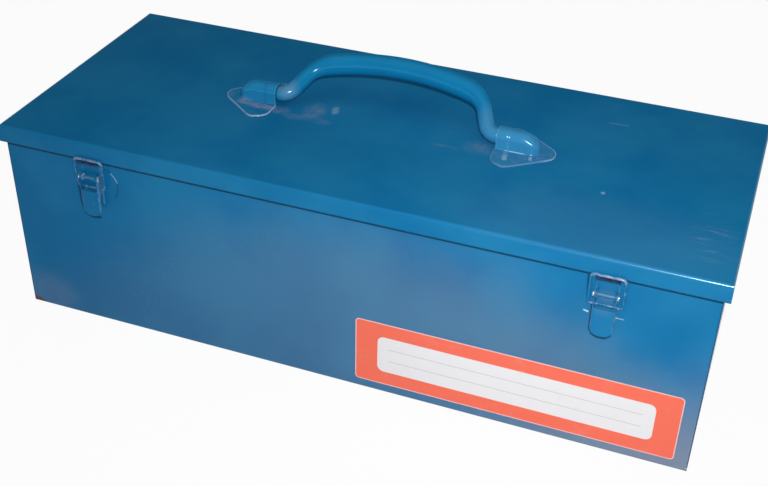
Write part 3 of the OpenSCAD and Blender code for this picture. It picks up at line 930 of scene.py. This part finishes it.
# The skirt's lower edge is painted darker as shade, above the painted shadow on the wall.
skirt_edge_shade = 1 - lid_finish.smooth(lid_finish.z - lid_low.z, 0.2, 0.7)
upper = lid_finish.smooth(lid_finish.z, lid_high.z - 4.0, lid_high.z - 3.0)
fold = (1 - lid_finish.smooth(lid_edge, 0.6, 1.8)) * upper
colour = lid_finish.mix(teal_cloud, enamel_colour(lid_finish), TEAL)
colour = lid_finish.mix((right_smudge + front_right_light + scratch) * outside_lid, colour, RUBBED_BLUE_AND_SHEEN)
colour = lid_finish.mix(scuffs * outside_lid, colour, SCUFFED)
colour = lid_finish.mix(dots * outside_lid, colour, WORN_RIM_AND_GLINT)
colour = lid_finish.mix(lid_chips * 0.4, colour, RUBBED_BLUE_AND_SHEEN)
colour = lid_finish.mix(skirt_edge_shade * 0.5, colour, GRIME_AND_SHADE)
inside_lid = lid_finish.faces((0.0, 0.0, -1.0))
dull = 0.16 + right_smudge * 0.5 + scuffs * 0.4 + dots * 0.3 + lid_grit * 0.04 + inside_lid * 0.4
lid_pieces = ["lid_shell"]
for side in ("left", "right"):
    lid_pieces += [f"hinge_{side}_lid_leaf", f"hinge_{side}_body_leaf"]
give(
    lid_finish.shade(colour, dull, enamel_skin(lid_finish) - lid_chips * 0.5, ENAMEL, fold * 0.05),
    *(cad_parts[node] for node in lid_pieces),
)

# %% [markdown]
# The handle's paint
#
# Hands keep the grip clean and polished, so it is glossier than the lid and a shade lighter. A strong
# specular level would give the flash's highlight, but also a bright rim where the tube turns away, so here
# that level is 0 and a thin Glossy layer with the same small share all over gives the highlight. The legs
# are painted paler near the brackets, as rubbed paint, and on the left leg also as a painted highlight. At
# the left mouth, where the tube turns in the bracket, the paint has worn through to specks of rust.

# %% Finish of the handle
GRIP_BLUE = (0.004, 0.26, 0.5, 1.0)
grip_finish = Finish("handle_enamel")
left_mouth = (HANDLE_X - tube_end + 2.5, 0.0, HANDLE_AXIS + 4.0)
worn_noise = grip_finish.noise(1.6, 3.0, roughness=0.7)
mouth_wear = grip_finish.patch(left_mouth, (4.0, 8.0, 6.0)) * 0.22
worn = grip_finish.smooth(worn_noise * 0.8 + mouth_wear, 0.55, 0.7)
colour = grip_finish.mix(0.25 + grip_finish.noise(30.0) * 0.4, DEEP_BLUE, GRIP_BLUE)
left_leg = (HANDLE_X - tube_end + 7.0, 1.0, HANDLE_AXIS + 3.0)
right_leg = (HANDLE_X + tube_end - 6.0, 4.0, HANDLE_AXIS + 6.0)
# The paler patch on the left leg is partly rubbed paint and partly a painted highlight.
leg_rub_and_highlight = grip_finish.patch(left_leg, (10.0, 14.0, 12.0)) * 0.2
leg_rub_and_highlight = leg_rub_and_highlight + grip_finish.patch(right_leg, (16.0, 26.0, 22.0)) * 0.1
colour = grip_finish.mix(leg_rub_and_highlight, colour, WORN_RIM_AND_GLINT)
colour = grip_finish.mix(worn * 0.7, colour, RUST)
give(grip_finish.shade(colour, 0.26 + worn * 0.3, grip_finish.noise(2.5) * 0.03, RIMLESS, POLISH), handle)

# %% [markdown]
# The brackets' paint
#
# The flange lies where the handle falls, so its rim is worn pale and the mouth's edge is rubbed. The
# function that laid out the flange cannot run in a shader. There the rim is whatever lies one corner's
# radius away from the line between the centres of two corners, and the straight side at the mouth, and the
# absolute value of y mirrors both to the other half. The dome is painted a shade lighter than the flange,
# and the right bracket a little paler. On the right one a painted highlight runs along the foot of the
# dome, and two painted reflections of its glints lie on the flange.

# %% Distance from the flange's edge
bracket_finish = Finish("bracket_enamel")
reach_x = abs(bracket_finish.x - HANDLE_X)
reach_y = abs(bracket_finish.y)
flat_place = bracket_finish.node("ShaderNodeCombineXYZ", {}, {"X": reach_x, "Y": reach_y})
flange_side = tip_corner - near_corner
outward = Vector((-flange_side.y, flange_side.x)).normalized()
per_side = flange_side / flange_side.length_squared
from_corner = bracket_finish.vector("SUBTRACT", flat_place, (*near_corner, 0.0))
side_share = bracket_finish.vector("DOT_PRODUCT", from_corner, (*per_side, 0.0), "Value")
held = bracket_finish.node("ShaderNodeClamp", {}, {"Value": side_share})
nearest = bracket_finish.vector("SCALE", (*flange_side, 0.0), held)
to_line = bracket_finish.vector("DISTANCE", from_corner, nearest, "Value")
beyond = bracket_finish.vector("DOT_PRODUCT", from_corner, (*outward, 0.0), "Value")
round_side = bracket_finish.smooth(beyond, 0.0, 1.0)
round_side = round_side.higher(bracket_finish.smooth(reach_y - near_corner.y, 0.0, 0.5))
above_lid = bracket_finish.z - lid_top
on_flange = 1 - bracket_finish.smooth(above_lid, foot - 0.4, foot + 0.6)
rim = bracket_finish.smooth(to_line, FLANGE_CORNER - 0.7, FLANGE_CORNER - 0.3) * round_side
rim = rim.higher(1 - bracket_finish.smooth(reach_x - FLANGE_X, 0.3, 0.7)) * on_flange
flange_tip = tip_corner.x + FLANGE_CORNER
print("flange from", round(FLANGE_X, 2), "to", round(flange_tip, 2), "mm from the handle's middle")

# %% Worn places of the brackets, and painted highlights on the right one
rub = bracket_finish.noise(6.0, 4.0, roughness=0.65)
left_one = 1 - bracket_finish.smooth(bracket_finish.x, -5.0, 5.0)
worn_tip = bracket_finish.smooth(bracket_finish.x + bracket_finish.y * 0.5, 106.0, 120.0)
bright_rim = rim * bracket_finish.smooth(rub, 0.22, 0.42) * (0.2 + left_one * 0.65 + worn_tip * 0.4)
foot_line = bracket_finish.stroke((-114.0, -9.5, lid_top + 1.0), (-87.0, -14.0, lid_top + 1.0), 5.0)
grain = bracket_finish.noise(4.0, 5.0, (0.35, 1.4, 1.0), 0.65)
foot_streak = foot_line * (0.3 + bracket_finish.smooth(grain, 0.35, 0.65) * 0.7)
flange_rub = bracket_finish.smooth(rub, 0.45, 0.8) * on_flange
right_one = 1 - left_one
past_band = reach_x - MOUTH_X - BAND_WIDTH
# A painted highlight runs along the foot of the right dome, past the band.
foot_highlight = bracket_finish.smooth(above_lid, SHEET + 0.05, SHEET + 0.3)
foot_highlight = foot_highlight - bracket_finish.smooth(above_lid, foot - 0.5, foot - 0.1)
along_foot = bracket_finish.smooth(past_band, 0.5, 1.5) - bracket_finish.smooth(past_band, 10.0, 14.0)
front_foot = right_one * (1 - bracket_finish.smooth(bracket_finish.y, -2.0, 0.0))
foot_highlight = foot_highlight * along_foot * front_foot
on_sheet = lid_top + SHEET
# Two painted reflections of the dome's glints lie on the right flange, broken by noise.
near_reflection = bracket_finish.stroke((90.0, -9.0, on_sheet), (91.4, -18.0, on_sheet), 2.4)
far_reflection = bracket_finish.stroke((108.0, -9.0, on_sheet), (108.6, -12.0, on_sheet), 1.8)
flange_reflections = near_reflection.higher(far_reflection) * bracket_finish.smooth(rub, 0.2, 0.7) * 0.4
mouth = (1 - bracket_finish.smooth(reach_x - MOUTH_X, 0.3, 1.2)) * (1 - on_flange)
mouth = mouth * bracket_finish.smooth(rub, 0.3, 0.6)
print("the foot of the dome is", foot, "mm above the lid")

# %% Finish of the brackets
# The dome is painted a shade lighter than the flange, and the right bracket a little paler.
colour = bracket_finish.mix(0.5 - on_flange * 0.35, enamel_colour(bracket_finish), DOME_BLUE)
colour = bracket_finish.mix(right_one * 0.12, colour, RUBBED_BLUE_AND_SHEEN)
colour = bracket_finish.mix((foot_streak * 0.6).higher(flange_rub * 0.15), colour, SCUFFED)
colour = bracket_finish.mix((foot_highlight * 0.5).higher(flange_reflections), colour, SCRAPED_AND_GLINT)
colour = bracket_finish.mix(bright_rim, colour, WORN_RIM_AND_GLINT)
colour = bracket_finish.mix(mouth * 0.35, colour, RUBBED_BLUE_AND_SHEEN)
give(
    bracket_finish.shade(colour, 0.22 + bright_rim * 0.2 + foot_streak * 0.3, rub * 0.05, RIMLESS, POLISH),
    bpy.data.objects["bracket_left"], bpy.data.objects["bracket_right"],
)

# %% [markdown]
# Latches and pins
#
# Plates, levers and wire bails were painted with the case after they were fitted. The levers are rubbed by
# fingers along their edges, where the paler paint is partly a painted highlight on the rounded edges, and
# worn bare beside the pin, the right one most, and the wire is worn bright on the bar that hooks over the
# catch. The pins' ends are bare steel with a little rust round them. The catches are painted dark, as the
# shade in the gap under each bail's bar.

# %% Finish of the plates and levers
pivot = (pin_low + pin_high) / 2
latch_finish = Finish("latch_enamel")
from_centre = abs(abs(latch_finish.x) - latch_x)
latch_rub = latch_finish.noise(3.0, 4.0, roughness=0.65)
# The pale edges of the levers are partly rubbed paint and partly a painted highlight on their rounded
# edges.
lever_edge_rub_and_highlight = latch_finish.smooth(from_centre, 6.3, 7.3)
rub_and_edge_highlight = latch_finish.smooth(latch_rub + lever_edge_rub_and_highlight * 0.3, 0.6, 0.85)
off_y = latch_finish.y - pivot.y
off_z = latch_finish.z - pivot.z
by_pin = 1 - latch_finish.smooth(off_y * off_y + off_z * off_z, 3.0, 8.0)
worn_arm = by_pin * latch_finish.smooth(from_centre, 4.6, 5.4) * latch_finish.smooth(latch_rub, 0.35, 0.6)
thumb_place = (latch_x, pivot.y, pivot.z - 5.0)
thumb_rub = latch_finish.patch(thumb_place, (12.0, 12.0, 13.0)) * (0.1 + latch_rub * 0.25)
colour = latch_finish.mix((rub_and_edge_highlight * 0.5).higher(thumb_rub), enamel_colour(latch_finish), RUBBED_BLUE_AND_SHEEN)
colour = latch_finish.mix(worn_arm * 0.8, colour, BARE_STEEL)
give(
    latch_finish.shade(colour, 0.2 + rub_and_edge_highlight * 0.2, latch_rub * 0.06, ENAMEL),
    *(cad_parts[f"latch_{side}_{part}"] for side in ("left", "right") for part in ("base", "lever")),
)

# %% Finish of the catches, painted dark as shade
CATCH_SHADE = (0.03, 0.012, 0.03, 1.0)
catch_finish = Finish("catch_painted_shade")
# The catch is painted nearly black as the shade in the gap under the bail's bar, mottled by noise.
catch_shade_noise = catch_finish.smooth(catch_finish.noise(4.0, 3.0), 0.3, 0.6)
colour = catch_finish.mix(0.6 + catch_shade_noise * 0.3, enamel_colour(catch_finish), CATCH_SHADE)
give(
    catch_finish.shade(colour, 0.4, catch_shade_noise * 0.05, ENAMEL),
    *(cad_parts[f"latch_{side}_catch"] for side in ("left", "right")),
)

# %% Finish of the wire bails
RUBBED_WIRE = (0.42, 0.46, 0.58, 1.0)
bail_low, bail_high = box_mm("latch_right_bail")
wire_finish = Finish("bail_enamel")
bar = wire_finish.smooth(wire_finish.z, bail_high.z - 4.0, bail_high.z - 1.0)
bar = bar.higher(0.4 - wire_finish.smooth(wire_finish.z, bail_low.z + 1.5, bail_low.z + 3.0) * 0.4)
wire_rub = wire_finish.noise(2.6, 4.0, roughness=0.7)
bright = wire_finish.smooth(wire_rub + bar * 0.2, 0.52, 0.75)
colour = wire_finish.mix(bright * 0.5, enamel_colour(wire_finish), RUBBED_WIRE)
metal = {"Metallic": bright * 0.25, **ENAMEL}
give(
    wire_finish.shade(colour, 0.24 + wire_rub * 0.1, wire_rub * 0.1, metal),
    *(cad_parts[f"latch_{side}_bail"] for side in ("left", "right")),
)

# %% Finish of the pins
PAINTED_PIN = (0.043, 0.1815, 0.36125, 1.0)
pin_finish = Finish("pin_steel")
pin_rust = pin_finish.smooth(pin_finish.noise(1.6, 4.0, roughness=0.7), 0.5, 0.7)
past_arm = abs(abs(pin_finish.x) - latch_x)
bare = pin_finish.smooth(past_arm, 6.4, 7.0).higher(pin_finish.smooth(pin_finish.y, -1.0, 1.0))
colour = pin_finish.mix(pin_rust * 0.6, BARE_STEEL, RUST)
colour = pin_finish.mix(bare, PAINTED_PIN, colour)
metal = {"Metallic": bare * (1 - pin_rust * 0.8)}
give(
    pin_finish.shade(colour, 0.28 + pin_rust * 0.35, pin_rust * 0.1, metal),
    *(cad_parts[f"{kind}_{side}_pin"] for kind in ("latch", "hinge") for side in ("left", "right")),
)

# %% [markdown]
# The label
#
# A printed film is stuck to the lower right of the front: red-orange, with rounded corners. Here it carries
# a plain white panel to write on, ruled with two thin lines. A rounded rectangle needs no picture: it is
# the set of points whose distance from a smaller rectangle is under the corner's radius.

# %% Finish of the label
label_low, label_high = box_mm("front_label")
label_centre = (label_low + label_high) / 2
RED_FILM = (0.84, 0.14, 0.08, 1.0)
WHITE_FILM = (0.74, 0.74, 0.76, 1.0)
EDGE_FILM = (0.8, 0.5, 0.52, 1.0)
RULE_INK = (0.35, 0.36, 0.4, 1.0)
FILM_DUST = (0.6, 0.5, 0.46, 1.0)
GLOSS_FILM = {"Specular IOR Level": 0.3}
label_finish = Finish("label_film")


def panel(finish, half_width, half_height, corner):
    """1 inside a rounded rectangle in the middle of the label."""
    across = (abs(finish.x - label_centre.x) - (half_width - corner)).higher(0.0)
    up = (abs(finish.z - label_centre.z) - (half_height - corner)).higher(0.0)
    return 1 - finish.smooth((across * across + up * up) / (corner * corner), 0.94, 1.04)


write_on = panel(label_finish, 98.0, 15.5, 5.0)
line_gap = abs(abs(label_finish.z - label_centre.z) - 5.2)
rules = (1 - label_finish.smooth(line_gap, 0.2, 0.4)) * panel(label_finish, 90.0, 15.5, 5.0)
film_dust = label_finish.smooth(label_finish.noise(14.0, 5.0, roughness=0.7), 0.5, 0.9) * 0.2
inside = panel(label_finish, label_centre.x - label_low.x - 0.7, label_centre.z - label_low.z - 0.7, 2.4)
colour = label_finish.mix(inside, EDGE_FILM, label_finish.mix(write_on, RED_FILM, WHITE_FILM))
colour = label_finish.mix(rules * 0.55, colour, RULE_INK)
colour = label_finish.mix(film_dust, colour, FILM_DUST)
ink = label_finish.noise(1.2) * 0.03
give(label_finish.shade(colour, 0.3 + film_dust, ink, GLOSS_FILM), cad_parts["front_label"])

# %% [markdown]
# The case is dressed.
